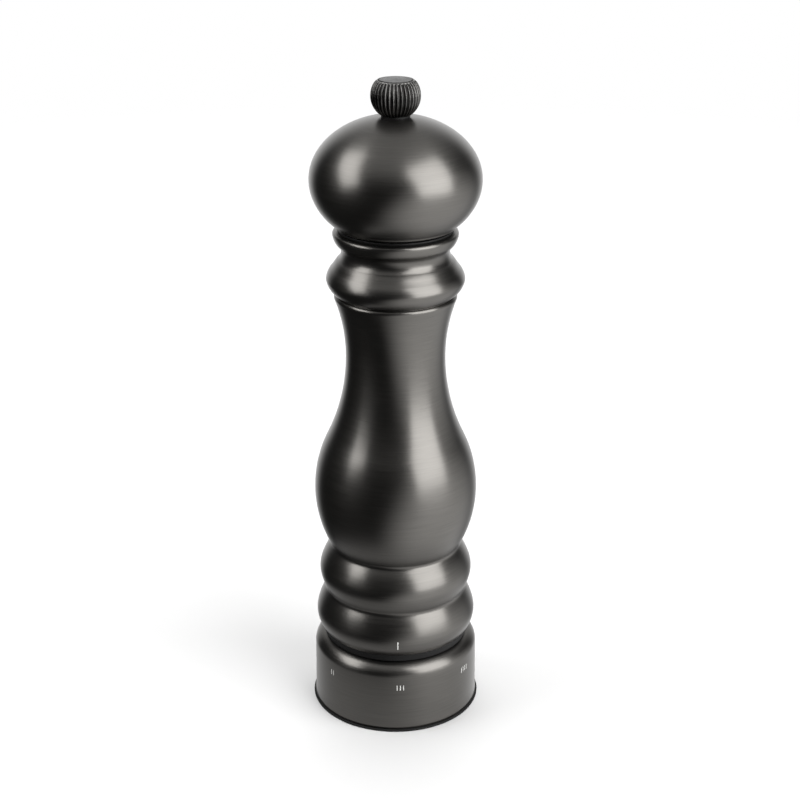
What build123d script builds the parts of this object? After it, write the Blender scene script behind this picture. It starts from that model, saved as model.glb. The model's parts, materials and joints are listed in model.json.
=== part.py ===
from build123d import *
import os
from math import asin, atan2, cos, degrees, radians, sin, sqrt, tan

# Pepper mill with a turning head and an adjusting ring in its base.
# Millimetres, +Z up, origin on the axis at the underside of the foot, -Y is the front.
# Outlines are drawn as (radius, height) and turned about Z.

# ---------------------------------------------------------------- driving dimensions
total_height = 220.0
steel = 0.8  # sheet thickness of the outer skins
running_fit = 0.08
screws = 3

# the six grind settings stand a fixed angle apart; the third is at the front
settings = 6
setting_step = 54.0
front_setting = 3

# foot and selector ring
foot_radius = 29.17
foot_widest_height = 0.45
foot_bottom_radius = 28.75
foot_top_radius = 28.95
foot_inner_radius = 23.4
foot_height = 0.8
skin_bottom = (28.62, 0.9)
skin_low = (28.43, 4.0)
shoulder_center = (23.75, 20.8)
shoulder_curve = 4.5
selector_bore = 23.0
selector_flange_bottom = 22.8
selector_flange_top = 24.4

# turned outline of the body, from the lower bead to the collar
bead_curve = 9.0
lower_bead = (18.49, 34.0)
lower_bead_angles = (-42.0, 14.0)
upper_bead = (17.23, 50.3)
upper_bead_angles = (-12.0, 18.0)
bead_crease = (24.15, 43.25)
body_crease_height = 59.8
belly_center = (-14.95, 80.5)
belly_curve = 42.5
waist_radius = 16.55
waist_height = 128.5
upper_waist_curve = 58.0
rolled_edge = (20.1, 149.2)
body_top = 148.0
neck_crease = (19.25, 150.1)
neck_bead_low = (21.45, 152.0)
neck_bead = (22.74, 155.1)
neck_bead_high = (22.2, 157.0)
neck_bead_end = (20.85, 159.0)
groove_center = (21.21, 164.2)
groove_curve = 3.5
groove_angle = 56.0
collar_middle = (20.25, 169.0)
collar_edge = (20.48, 170.1)
collar_round = (20.3, 170.8)
collar_rim = 19.7
collar_top = 171.2
collar_mouth = 17.4
lip_radius = 24.2

# head
head_center = (0.0, 188.0)
head_radius = 27.8
head_rise = 20.5
head_drop = 21.0
head_rim_height = 173.6
head_bottom = 172.8
head_mouth = 18.4
head_hole = 3.4
head_seat = 208.2
seat_step = 0.25
rim_start = (19.3, 172.8)
rim_middle = (19.8, 173.0)
plate_bottom = head_bottom - 1.6

# knob
knob_bottom = 208.8
knob_neck = 4.9
knob_widest = (7.98, 214.9)
knob_shoulder = (6.6, 219.1)
knob_rim = (5.75, 219.75)
knob_recess = (5.65, 219.1)
knob_disc_radius = 5.3
knob_disc_edge = (5.1, 219.9)
knob_washer_radius = 4.6
knob_flutes = 36
knob_flute_radius = 0.36
insert_radius = 4.0
insert_top = 216.2

# shaft and its fittings
shaft_side = 5.0
shaft_corner = shaft_side / sqrt(2)
shaft_square_top = 206.5
shaft_top = 215.5
shaft_thread_radius = 2.5
thread_bore = 2.55
shaft_foot_radius = 2.0
shaft_foot_bottom = 6.8

# neck, liner and mechanism housing
spigot_radius = 14.5
spigot_wall = 1.7
core_bore = 3.86
spigot_bottom = 161.6
bush_radius = 16.7
bush_bottom = 156.0
bush_flange = 18.8
bush_top = 172.2
liner_radius = 15.3
liner_wall = 1.4
liner_low_radius = 21.2
liner_top = 161.0
liner_bottom = 61.0
housing_radius = 21.1
housing_bore = 19.3
housing_bottom = 8.5
housing_top = 60.9
housing_flange = 24.9
housing_flange_bottom = 25.8
bridge_seat = 57.0
funnel_top_radius = 16.6
funnel_low_radius = 15.2
funnel_bottom = 30.0
skirt_wall = 1.2
boss_wall = 0.8
slot_top = 19.5
slot_width = 8.4
clip_groove_radius = 20.4
clip_groove = (21.4, 22.6)
click_radius = 22.2
click_ball_radius = 1.0
click_ball_height = 25.3
click_pocket_top = 32.6
bridge_screw_circle = 17.65
bridge_screw_radius = 0.9
bridge_screw_length = 9.0
bridge_screw_head = (1.6, 1.2)
plate_screw_circle = 10.2
plate_screw_radius = 1.0
plate_screw_length = 6.5
plate_screw_head = (1.9, 1.2)
screw_slot = 0.6
clearance = 0.1

# grinding set
cone_slope = tan(radians(20))
rotor_bottom = 13.0
rotor_low_radius = 11.4
rotor_band_top = 19.0
rotor_top = 29.0
rotor_top_radius = 5.2
grinding_gap = 0.6
fine_teeth = 36
fine_cut = 0.35
fine_skew = 12.0
coarse_teeth = 8
rotor_cut = 1.7
rotor_skew = 40.0
stator_cut = 1.2
stator_skew = 25.0
nut_across_flats = 7.0
nut_height = 3.2
nut_washer = (6.0, 1.0)
stator_bottom = 14.0
stator_top = 28.0
stator_radius = 17.0
stator_mouth = 14.6
carrier_radius = 19.2
carrier_bottom = 12.2
carrier_top = 26.0
carrier_hole = 15.0
lug_reach = 22.7
lug_heights = (12.6, 17.4)
lug_width = 8.0
spring_top = 34.0
spring_radius = 18.0
spring_wire = 0.5
spring_turns = 4


# ---------------------------------------------------------------- shared shapes
def turned(*edges):
    """A closed outline, turned about Z."""
    return revolve(Plane.XZ * make_face(Curve() + list(edges)), Axis.Z)


def turned_points(*points):
    return turned(Polyline(*points, close=True))


def skin(*edges):
    """Sheet steel under an outline that is drawn upwards."""
    path = Wire([edge.edge() for edge in edges])
    band = path.offset_2d(steel, kind=Kind.ARC, side=Side.LEFT)
    return revolve(Plane.XZ * make_face(band), Axis.Z)


def tube(outer, inner, bottom, top):
    return turned_points((inner, bottom), (outer, bottom), (outer, top), (inner, top))


def rod(radius, bottom, top):
    return Pos(0, 0, bottom) * extrude(Circle(radius), amount=top - bottom)


def square_bar(side, bottom, top):
    return Pos(0, 0, bottom) * extrude(Rectangle(side, side), amount=top - bottom)


def around(count, radius=0.0, start=0.0):
    """Evenly spaced places on a circle about Z."""
    return PolarLocations(radius, count, start)


def on_arc(center, curve, angle):
    return (
        center[0] + curve * cos(radians(angle)),
        center[1] + curve * sin(radians(angle)),
    )


def arc_between(center, curve, angles):
    return CenterArc(center, curve, angles[0], angles[1] - angles[0])


def coil(radius, wire, bottom, top, turns):
    """A helical spring between two heights."""
    rise = top - bottom - 2 * wire
    path = Helix(pitch=rise / turns, height=rise, radius=radius)
    section = Plane(path @ 0, z_dir=path % 0) * Circle(wire)
    return Pos(0, 0, bottom + wire) * sweep(section, path)


def flute(radius, start, end, skew):
    """A round cutter from one (radius, height) point to another, skewed about Z."""
    foot = Vector(start[0], 0, start[1])
    tip = Vector(end[0], 0, end[1]).rotate(Axis.Z, skew)
    place = Plane(origin=foot, z_dir=tip - foot)
    return place * extrude(Circle(radius), amount=(tip - foot).length)


def slotted_screw(head_radius, head_height, shank_radius, length):
    """A screw with its head above z = 0 and its shank below."""
    head = rod(head_radius, 0, head_height)
    slot = Pos(0, 0, head_height) * Box(2 * head_radius, screw_slot, head_height)
    return head + rod(shank_radius, -length, 0) - slot


def belly_radius_at(height):
    rise = height - belly_center[1]
    return belly_center[0] + sqrt(belly_curve**2 - rise**2)


# ---------------------------------------------------------------- body
lip_height = on_arc(lower_bead, bead_curve, lower_bead_angles[0])[1]


def body_shell():
    """The steel body: two base beads, belly, waist, neck bead, groove and collar."""
    body_crease = (belly_radius_at(body_crease_height), body_crease_height)
    reach = waist_radius - belly_center[0]
    rise = waist_height - belly_center[1]
    # the one curve that touches the belly's arc and stands upright at the waist
    lower_waist_curve = (reach**2 + rise**2 - belly_curve**2) / (2 * (belly_curve - reach))
    waist_center = (waist_radius + lower_waist_curve, waist_height)
    upper_waist_center = (waist_radius + upper_waist_curve, waist_height)
    to_waist = degrees(atan2(rise, waist_center[0] - belly_center[0]))
    belly_start = degrees(asin((body_crease_height - belly_center[1]) / belly_curve))
    flare = degrees(asin((body_top - waist_height) / upper_waist_curve))

    lower = arc_between(lower_bead, bead_curve, lower_bead_angles)
    upper = arc_between(upper_bead, bead_curve, upper_bead_angles)
    below_crease = TangentArc(lower @ 1, bead_crease, tangent=lower % 1)
    above_crease = TangentArc(upper @ 0, bead_crease, tangent=-(upper % 0))
    below_body = TangentArc(upper @ 1, body_crease, tangent=upper % 1)
    belly = arc_between(belly_center, belly_curve, (belly_start, to_waist))
    waist = ThreePointArc(
        belly @ 1,
        on_arc(waist_center, lower_waist_curve, 180 + to_waist / 2),
        (waist_radius, waist_height),
    )
    top = on_arc(upper_waist_center, upper_waist_curve, 180 - flare)
    flared = ThreePointArc(
        (waist_radius, waist_height),
        on_arc(upper_waist_center, upper_waist_curve, 180 - flare / 2),
        top,
    )
    rolled = ThreePointArc(top, rolled_edge, neck_crease)
    neck_low = ThreePointArc(neck_crease, neck_bead_low, neck_bead)
    neck_high = ThreePointArc(neck_bead, neck_bead_high, neck_bead_end)
    groove = arc_between(
        groove_center, groove_curve, (180 + groove_angle, 180 - groove_angle)
    )
    collar = ThreePointArc(groove @ 1, collar_middle, collar_edge)
    rim = ThreePointArc(collar_edge, collar_round, (collar_rim, collar_top))
    return skin(
        Line((lip_radius, lip_height), lower @ 0),
        lower,
        below_crease,
        ThreePointArc(bead_crease, above_crease @ 0.5, upper @ 0),
        upper,
        below_body,
        belly,
        waist,
        flared,
        rolled,
        neck_low,
        neck_high,
        Line(neck_bead_end, groove @ 0),
        groove,
        collar,
        rim,
        Line(rim @ 1, (collar_mouth, collar_top)),
    )


def chamber_liner():
    """The moulded peppercorn chamber, narrow through the waist and wide in the belly."""
    narrow_end = 112.0
    wide_start = 96.0
    inner = liner_radius - liner_wall
    low_inner = liner_low_radius - liner_wall
    return turned_points(
        (inner, liner_top),
        (liner_radius, liner_top),
        (liner_radius, narrow_end),
        (liner_low_radius, wide_start),
        (liner_low_radius, liner_bottom),
        (low_inner, liner_bottom),
        (low_inner, wide_start - liner_wall / 2),
        (inner, narrow_end - liner_wall / 2),
    )


def neck_bush():
    """The black ring in the collar that the head turns on and that holds the liner's top."""
    bore = spigot_radius + running_fit
    return turned_points(
        (liner_radius, bush_bottom),
        (bush_radius, bush_bottom),
        (bush_radius, collar_top),
        (bush_flange, collar_top),
        (bush_flange, bush_top),
        (bore, bush_top),
        (bore, liner_top),
        (liner_radius, liner_top),
    )


def mechanism_housing():
    """The moulded housing of the grinding set, with keyways, snap-ring groove and click boss."""
    skirt_radius = funnel_low_radius + skirt_wall
    blank = turned_points(
        (housing_bore, housing_bottom),
        (housing_radius, housing_bottom),
        (housing_radius, clip_groove[0]),
        (clip_groove_radius, clip_groove[0]),
        (clip_groove_radius, clip_groove[1]),
        (housing_radius, clip_groove[1]),
        (housing_radius, housing_flange_bottom),
        (housing_flange, housing_flange_bottom),
        (housing_flange, lip_height),
        (housing_radius, lip_height),
        (housing_radius, housing_top),
        (housing_bore, housing_top),
        (housing_bore, bridge_seat),
        (funnel_top_radius, bridge_seat),
        (funnel_low_radius, spring_top),
        (funnel_low_radius, funnel_bottom),
        (skirt_radius, funnel_bottom),
        (skirt_radius, spring_top),
        (housing_bore, spring_top),
    )
    pocket_radius = click_ball_radius + clearance
    click_place = Pos(0, click_radius, 0)
    boss = click_place * rod(pocket_radius + boss_wall, lip_height, click_pocket_top + boss_wall)
    pocket = click_place * rod(pocket_radius, housing_flange_bottom, click_pocket_top)
    slot_height = slot_top - housing_bottom
    keyway = Pos(housing_radius, 0, housing_bottom + slot_height / 2) * Box(
        2 * (housing_radius - housing_bore) + 1, slot_width, slot_height
    )
    keyways = [place * keyway for place in around(screws)]
    screw_hole = rod(bridge_screw_radius, bridge_seat - bridge_screw_length - 1, bridge_seat)
    screw_holes = [place * screw_hole for place in around(screws, bridge_screw_circle, 60)]
    bore = rod(housing_bore, lip_height, spring_top)
    return blank + (boss - bore) - pocket - keyways - screw_holes


def retaining_ring():
    """The open snap ring in the housing's groove that the selector ring hangs on."""
    outer = 22.6
    gap = 7.0
    bottom = clip_groove[0] + clearance
    top = clip_groove[1] - clearance
    ring = tube(outer, clip_groove_radius, bottom, top)
    opening = Rot(0, 0, 60) * Pos(outer, 0, bottom) * Box(gap, gap, gap)
    return ring - opening


def click_ball():
    return Pos(0, click_radius, click_ball_height) * Sphere(click_ball_radius)


def click_spring():
    bottom = click_ball_height + click_ball_radius
    wire = 0.2
    spring = coil(click_ball_radius - wire, wire, bottom, click_pocket_top, 5)
    return Pos(0, click_radius, 0) * spring


# ---------------------------------------------------------------- bridge and shaft
bridge_top = bridge_seat + 2.5
hub_bottom = bridge_seat - 2.0
hub_top = bridge_top + 2.5
hub_radius = 6.2
bush_outer = 5.0
bush_collar = 5.9
bush_collar_bottom = hub_bottom - 1.0
bush_end = hub_top + 0.4
thrust_radius = 6.4
thrust_bottom = bush_collar_bottom - 1.1
clip_radius = 6.0
clip_thickness = 1.0


def bridge():
    """The three-armed spider that centres the shaft above the grinding set."""
    rim = tube(housing_bore - clearance, funnel_top_radius, bridge_seat, bridge_top)
    hub = rod(hub_radius, hub_bottom, hub_top)
    reach = funnel_top_radius + 0.5
    arm_width = 3.2
    arm = Pos(reach / 2, 0, (bridge_seat + bridge_top) / 2) * Box(
        reach, arm_width, bridge_top - bridge_seat
    )
    arms = [place * arm for place in around(screws, 0, 60)]
    hole = rod(bridge_screw_radius + clearance, bridge_seat, bridge_top)
    holes = [place * hole for place in around(screws, bridge_screw_circle, 60)]
    return hub + arms + rim - rod(bush_outer, hub_bottom, hub_top) - holes


def bridge_bush():
    """The flanged bearing that the square shaft turns in."""
    bore = shaft_corner + running_fit
    return turned_points(
        (bore, bush_collar_bottom),
        (bush_collar, bush_collar_bottom),
        (bush_collar, hub_bottom),
        (bush_outer, hub_bottom),
        (bush_outer, bush_end),
        (bore, bush_end),
    )


def bridge_screws():
    screw = slotted_screw(*bridge_screw_head, bridge_screw_radius, bridge_screw_length)
    screw = Pos(0, 0, bridge_top) * screw
    return [place * screw for place in around(screws, bridge_screw_circle, 60)]


def drive_shaft():
    """A square rod with a threaded foot for the rotor nut and a threaded tip for the knob."""
    foot = rod(shaft_foot_radius, shaft_foot_bottom, rotor_bottom)
    square = square_bar(shaft_side, rotor_bottom, shaft_square_top)
    tip = rod(shaft_thread_radius, shaft_square_top, shaft_top)
    return foot + square + chamfer(tip.edges().group_by(Axis.Z)[-1], 0.4)


def shaft_clips():
    """Two spring clips on the square rod, one above and one below the bridge."""
    mouth = Pos(4.0, 0, clip_thickness / 2) * Box(6.0, 3.4, clip_thickness)
    clip = rod(clip_radius, 0, clip_thickness) - square_bar(shaft_side, 0, clip_thickness)
    clip -= mouth
    above = bush_end + 2 * clearance
    below = thrust_bottom - clip_thickness
    return [Pos(0, 0, above) * clip, Pos(0, 0, below) * clip]


def thrust_washer():
    bore = shaft_corner + running_fit
    return tube(thrust_radius, bore, thrust_bottom, bush_collar_bottom - clearance)


# ---------------------------------------------------------------- grinding set
def rotor_radius_at(height):
    return rotor_low_radius - cone_slope * (height - rotor_bottom)


def rotor():
    """The male burr: a band of fine teeth under coarse breaking teeth."""
    band = (rotor_radius_at(rotor_band_top), rotor_band_top)
    low = (rotor_low_radius, rotor_bottom)
    tip = (rotor_top_radius, rotor_top)
    blank = turned_points((0, rotor_bottom), low, band, tip, (0, rotor_top))
    fine = flute(fine_cut, low, band, fine_skew)
    coarse = flute(rotor_cut, band, (rotor_top_radius + 1.2, rotor_top + 1), rotor_skew)
    fine_cuts = [place * fine for place in around(fine_teeth)]
    coarse_cuts = [place * coarse for place in around(coarse_teeth)]
    return blank - coarse_cuts - fine_cuts - square_bar(shaft_side, rotor_bottom, rotor_top)


def stator():
    """The female burr: a throat that narrows onto the rotor's fine band."""
    low = (rotor_radius_at(stator_bottom) + grinding_gap, stator_bottom)
    band = (rotor_radius_at(rotor_band_top) + grinding_gap, rotor_band_top)
    mouth = (stator_mouth, stator_top)
    blank = turned_points(
        low, (stator_radius, stator_bottom), (stator_radius, stator_top), mouth, band
    )
    fine = flute(fine_cut, low, band, -fine_skew)
    coarse = flute(stator_cut, band, mouth, -stator_skew)
    fine_cuts = [place * fine for place in around(fine_teeth)]
    coarse_cuts = [place * coarse for place in around(2 * coarse_teeth)]
    return blank - coarse_cuts - fine_cuts


def stator_carrier():
    """The sleeve that holds the stator, keyed to the housing by three lugs."""
    sleeve = turned_points(
        (carrier_hole, carrier_bottom),
        (carrier_radius, carrier_bottom),
        (carrier_radius, carrier_top),
        (stator_radius, carrier_top),
        (stator_radius, stator_bottom),
        (carrier_hole, stator_bottom),
    )
    root = stator_radius + 1
    lug = Pos((root + lug_reach) / 2, 0, sum(lug_heights) / 2) * Box(
        lug_reach - root, lug_width, lug_heights[1] - lug_heights[0]
    )
    lug &= rod(lug_reach, *lug_heights)
    return sleeve + [place * lug for place in around(screws)]


def stator_spring():
    """The coil that holds the carrier down on the selector's thread."""
    return coil(spring_radius, spring_wire, carrier_top, spring_top, spring_turns)


def rotor_washer():
    radius, thickness = nut_washer
    return tube(radius, shaft_foot_radius, rotor_bottom - thickness, rotor_bottom)


def rotor_nut():
    hexagon = RegularPolygon(nut_across_flats / 2, 6, major_radius=False)
    blank = extrude(hexagon, amount=nut_height) - rod(shaft_foot_radius, 0, nut_height)
    return Pos(0, 0, rotor_bottom - nut_washer[1] - nut_height) * blank


# ---------------------------------------------------------------- selector in the base
def selector_shell():
    """The steel skin of the adjusting ring, with a rounded shoulder."""
    shoulder = arc_between(shoulder_center, shoulder_curve, (0, 90))
    return skin(Line(skin_bottom, skin_low), Line(skin_low, shoulder @ 0), shoulder)


def selector_ring():
    """The moulded ring inside the skin, with a click race and one hollow per setting."""
    crown_curve = selector_flange_top - shoulder_center[1]
    side = shoulder_center[0] + crown_curve
    bearing = housing_radius + running_fit
    crown = arc_between(shoulder_center, crown_curve, (0, 90))
    blank = turned(
        Line((side, foot_height), crown @ 0),
        crown,
        Polyline(
            crown @ 1,
            (bearing, selector_flange_top),
            (bearing, selector_flange_bottom),
            (selector_bore, selector_flange_bottom),
            (selector_bore, foot_height),
            (side, foot_height),
        ),
    )
    cutter = click_ball_radius + clearance
    race = Pos(0, 0, click_ball_height) * Torus(click_radius, cutter)
    hollow_depth = 0.3
    hollow = Pos(0, 0, click_ball_height - hollow_depth) * Sphere(cutter)
    first = 90 - (front_setting - 1) * setting_step
    sweep_angle = (settings - 1) * setting_step
    places = PolarLocations(click_radius, settings, first, sweep_angle, endpoint=True)
    hollows = [place * hollow for place in places]
    return blank - race - hollows


def foot_ring():
    """The soft ring that the mill stands on, round at its outer edge."""
    edge = ThreePointArc(
        (foot_bottom_radius, 0), (foot_radius, foot_widest_height), (foot_top_radius, foot_height)
    )
    return turned(
        Line((foot_inner_radius, 0), (foot_bottom_radius, 0)),
        edge,
        Polyline(
            (foot_top_radius, foot_height),
            (foot_inner_radius, foot_height),
            (foot_inner_radius, 0),
        ),
    )


# ---------------------------------------------------------------- head
def ellipse_arc(inset, height, upwards):
    """The head's section between its widest height and another height."""
    rise = (head_rise if upwards else head_drop) - inset
    angle = degrees(asin((height - head_center[1]) / rise))
    start = 0 if upwards else angle
    return EllipticalCenterArc(
        head_center, head_radius - inset, rise, start_angle=start, arc_size=abs(angle)
    )


def head_shell():
    """The spun steel head, an ellipse in section, open below and pierced for the shaft."""
    seat_edge = head_seat - seat_step
    lower = ellipse_arc(0, head_rim_height, False)
    upper = ellipse_arc(0, seat_edge, True)
    inner_lower = ellipse_arc(steel, head_bottom + steel, False)
    inner_upper = ellipse_arc(steel, seat_edge - steel, True)
    rim = ThreePointArc(rim_start, rim_middle, lower @ 0)
    return turned(
        Line((head_mouth, head_bottom), rim_start),
        rim,
        lower,
        upper,
        Polyline(
            upper @ 1,
            (head_hole + 1, head_seat),
            (head_hole, head_seat),
            (head_hole, seat_edge - steel),
            inner_upper @ 1,
        ),
        inner_upper,
        inner_lower,
        Polyline(
            inner_lower @ 0,
            (head_mouth, head_bottom + steel),
            (head_mouth, head_bottom),
        ),
    )


def head_core():
    """The moulded core: spigot, floor, hub, ring and ribs that carry the steel head."""
    floor_top = 175.0
    boss_top = 178.0
    hub_top = 206.3
    hub = 8.0
    ring = (24.4, 23.0)
    ring_heights = (180.0, 194.0)
    rib_width = 1.6
    rib_outline = [(7.0, 174.5), (17.5, 174.5), (23.5, 181.0), (23.5, 193.5), (7.0, 203.0)]
    core = tube(spigot_radius, spigot_radius - spigot_wall, spigot_bottom, floor_top)
    core += rod(head_mouth - clearance, head_bottom, floor_top)
    core += rod(hub, head_bottom, hub_top)
    core += tube(*ring, *ring_heights)
    web = make_face(Polyline(*rib_outline, close=True))
    rib = Plane.XZ * extrude(web, amount=rib_width / 2, both=True)
    core += [place * rib for place in around(6)]
    boss = rod(2.4 * plate_screw_radius, head_bottom, boss_top)
    pilot = rod(plate_screw_radius, head_bottom, boss_top)
    core += [place * boss for place in around(screws, plate_screw_circle, 30)]
    core -= [place * pilot for place in around(screws, plate_screw_circle, 30)]
    return core - rod(core_bore, spigot_bottom, hub_top)


def drive_plate():
    """The steel plate whose square hole turns the shaft."""
    plate = rod(spigot_radius - spigot_wall - clearance, plate_bottom, head_bottom)
    hole = rod(plate_screw_radius + clearance, plate_bottom, head_bottom)
    plate -= [place * hole for place in around(screws, plate_screw_circle, 30)]
    return plate - square_bar(shaft_side + 2 * running_fit, plate_bottom, head_bottom)


def drive_plate_screws():
    screw = slotted_screw(*plate_screw_head, plate_screw_radius, plate_screw_length)
    screw = Pos(0, 0, plate_bottom) * Rot(180, 0, 0) * screw
    return [place * screw for place in around(screws, plate_screw_circle, 30)]


# ---------------------------------------------------------------- knob
def knob():
    """The fluted grip, bored from below for its threaded insert and recessed for its disc."""
    grip = ThreePointArc((knob_neck, knob_bottom), knob_widest, knob_shoulder)
    body = turned(
        Line((insert_radius, knob_bottom), (knob_neck, knob_bottom)),
        grip,
        Polyline(
            knob_shoulder,
            knob_rim,
            (knob_recess[0], knob_rim[1]),
            knob_recess,
            (0, knob_recess[1]),
            (0, insert_top),
            (insert_radius, insert_top),
            (insert_radius, knob_bottom),
        ),
    )
    path = Plane.XZ * grip
    cutter = sweep(Plane(path @ 0, z_dir=path % 0) * Circle(knob_flute_radius), path)
    return body - [place * cutter for place in around(knob_flutes)]


def knob_disc():
    """The plain disc let into the top of the knob."""
    return turned_points(
        (0, knob_recess[1]),
        (knob_disc_radius, knob_recess[1]),
        (knob_disc_radius, knob_disc_edge[1] - running_fit),
        knob_disc_edge,
        (0, total_height),
    )


def knob_insert():
    return tube(insert_radius, thread_bore, knob_bottom + clearance, insert_top)


def knob_washer():
    return tube(knob_washer_radius, shaft_thread_radius + 0.5, head_seat, knob_bottom)


# ---------------------------------------------------------------- write the pieces
pieces = [
    body_shell,
    chamber_liner,
    neck_bush,
    mechanism_housing,
    retaining_ring,
    click_ball,
    click_spring,
    bridge,
    bridge_bush,
    bridge_screws,
    drive_shaft,
    shaft_clips,
    thrust_washer,
    rotor,
    rotor_washer,
    rotor_nut,
    stator,
    stator_carrier,
    stator_spring,
    selector_shell,
    selector_ring,
    foot_ring,
    head_shell,
    head_core,
    drive_plate,
    drive_plate_screws,
    knob,
    knob_disc,
    knob_insert,
    knob_washer,
]

os.makedirs("parts", exist_ok=True)
for piece in pieces:
    shape = piece()
    if isinstance(shape, list):
        shape = Compound(children=shape)
    export_step(shape, os.path.join("parts", piece.__name__ + ".step"))
    print(piece.__name__, round(shape.volume, 1))
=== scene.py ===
import json
import math

import bmesh
import bpy
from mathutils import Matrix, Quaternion, Vector


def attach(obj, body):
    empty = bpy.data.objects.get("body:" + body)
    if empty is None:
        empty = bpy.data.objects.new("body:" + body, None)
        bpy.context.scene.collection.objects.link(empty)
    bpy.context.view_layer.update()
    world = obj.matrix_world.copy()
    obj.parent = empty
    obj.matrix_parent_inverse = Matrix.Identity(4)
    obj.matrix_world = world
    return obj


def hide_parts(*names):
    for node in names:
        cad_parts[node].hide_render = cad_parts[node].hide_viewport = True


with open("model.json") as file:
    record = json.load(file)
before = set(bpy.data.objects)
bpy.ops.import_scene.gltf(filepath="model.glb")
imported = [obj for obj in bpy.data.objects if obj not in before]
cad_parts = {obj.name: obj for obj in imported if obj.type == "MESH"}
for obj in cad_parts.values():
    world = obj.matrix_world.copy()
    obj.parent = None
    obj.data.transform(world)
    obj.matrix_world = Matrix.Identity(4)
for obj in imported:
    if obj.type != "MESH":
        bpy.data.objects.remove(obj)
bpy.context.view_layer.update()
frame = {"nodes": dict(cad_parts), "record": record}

nodes = frame["nodes"]
mm = 0.001
roundSteps = 240  # faces round the mill
grainRadius = 0.02  # metres from the axis that the brushing is measured at


# nodes and sums of nodes
class Wire:
    # an output socket that adds and multiplies like a number
    def __init__(self, graph, socket):
        self.graph = graph
        self.socket = socket

    def combined(self, operation, first, second):
        return self.graph.add(
            "ShaderNodeMath", {"operation": operation}, {0: first, 1: second}
        )

    def __add__(self, other):
        return self.combined("ADD", self, other)

    def __radd__(self, other):
        return self.combined("ADD", other, self)

    def __sub__(self, other):
        return self.combined("SUBTRACT", self, other)

    def __rsub__(self, other):
        return self.combined("SUBTRACT", other, self)

    def __mul__(self, other):
        return self.combined("MULTIPLY", self, other)

    def __rmul__(self, other):
        return self.combined("MULTIPLY", other, self)

    def __truediv__(self, other):
        return self.combined("DIVIDE", self, other)

    def __rtruediv__(self, other):
        return self.combined("DIVIDE", other, self)

    def __pow__(self, other):
        return self.combined("POWER", self, other)


class Graph:
    def __init__(self, tree):
        self.tree = tree

    def add(self, kind, settings=None, sockets=None, out=0):
        # out is one output, or a row of them that come back as a list
        node = self.tree.nodes.new(kind)
        for key, value in (settings or {}).items():
            setattr(node, key, value)
        for key, value in (sockets or {}).items():
            if isinstance(value, Wire):
                self.tree.links.new(value.socket, node.inputs[key])
            else:
                node.inputs[key].default_value = value
        if isinstance(out, tuple):
            return [Wire(self, node.outputs[name]) for name in out]
        return Wire(self, node.outputs[out]) if len(node.outputs) else None

    def entries(self):
        # the tree's own named inputs
        node = self.tree.nodes.new("NodeGroupInput")
        return {output.name: Wire(self, output) for output in node.outputs}


# outlines, as (radius, height) in millimetres
def arc(center, radius, startAngle, endAngle, steps):
    return ellipse(center, radius, radius, startAngle, endAngle, steps)


def ellipse(center, halfWidth, halfHeight, startAngle, endAngle, steps):
    points = []
    for i in range(steps + 1):
        angle = math.radians(startAngle + (endAngle - startAngle) * i / steps)
        points.append(
            (
                center[0] + halfWidth * math.cos(angle),
                center[1] + halfHeight * math.sin(angle),
            )
        )
    return points


def arcThrough(first, middle, last, steps):
    ax, ay = first
    bx, by = middle
    cx, cy = last
    twist = 2 * (ax * (by - cy) + bx * (cy - ay) + cx * (ay - by))
    a, b, c = ax**2 + ay**2, bx**2 + by**2, cx**2 + cy**2
    ux = (a * (by - cy) + b * (cy - ay) + c * (ay - by)) / twist
    uy = (a * (cx - bx) + b * (ax - cx) + c * (bx - ax)) / twist
    radius = math.hypot(ax - ux, ay - uy)
    start, through, end = (
        math.degrees(math.atan2(y - uy, x - ux)) for x, y in (first, middle, last)
    )
    through = nearTo(start, through)
    return arc((ux, uy), radius, start, nearTo(through, end), steps)


def nearTo(known, angle):
    # the same angle, brought within half a turn of a known one
    while angle - known > 180:
        angle -= 360
    while angle - known < -180:
        angle += 360
    return angle


def tangentArc(first, last, angle, steps):
    # from first, leaving at an angle in degrees, round to last
    wayX, wayY = math.cos(math.radians(angle)), math.sin(math.radians(angle))
    dx, dy = last[0] - first[0], last[1] - first[1]
    radius = (dx**2 + dy**2) / (2 * (dy * wayX - dx * wayY))
    center = (first[0] - radius * wayY, first[1] + radius * wayX)
    turn = 2 * math.atan2(dy * wayX - dx * wayY, dx * wayX + dy * wayY)
    start = math.atan2(first[1] - center[1], first[0] - center[0])
    return arc(center, abs(radius), math.degrees(start), math.degrees(start + turn), steps)


def straight(first, last, steps=1):
    return [
        (
            first[0] + (last[0] - first[0]) * i / steps,
            first[1] + (last[1] - first[1]) * i / steps,
        )
        for i in range(steps + 1)
    ]


def joined(*stretches):
    points = []
    for stretch in stretches:
        for point in stretch:
            if not points or math.dist(point, points[-1]) > 1e-5:
                points.append(point)
    return points


def eased(points, corner, reach, steps=5):
    # rounds the corner nearest to a point, from reach before it to reach after it
    at = min(range(len(points)), key=lambda i: math.dist(points[i], corner))
    before = [p for p in points[:at] if math.dist(p, points[at]) > reach]
    after = [p for p in points[at + 1:] if math.dist(p, points[at]) > reach]
    start = partWay(points[at], points[at - 1], reach)
    end = partWay(points[at], points[at + 1], reach)
    bend = []
    for i in range(steps + 1):
        t = i / steps
        bend.append(
            tuple(
                (1 - t) ** 2 * s + 2 * t * (1 - t) * m + t**2 * e
                for s, m, e in zip(start, points[at], end)
            )
        )
    return before + bend + after


def partWay(first, last, reach):
    share = reach / math.dist(first, last)
    return tuple(a + (b - a) * share for a, b in zip(first, last))


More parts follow.
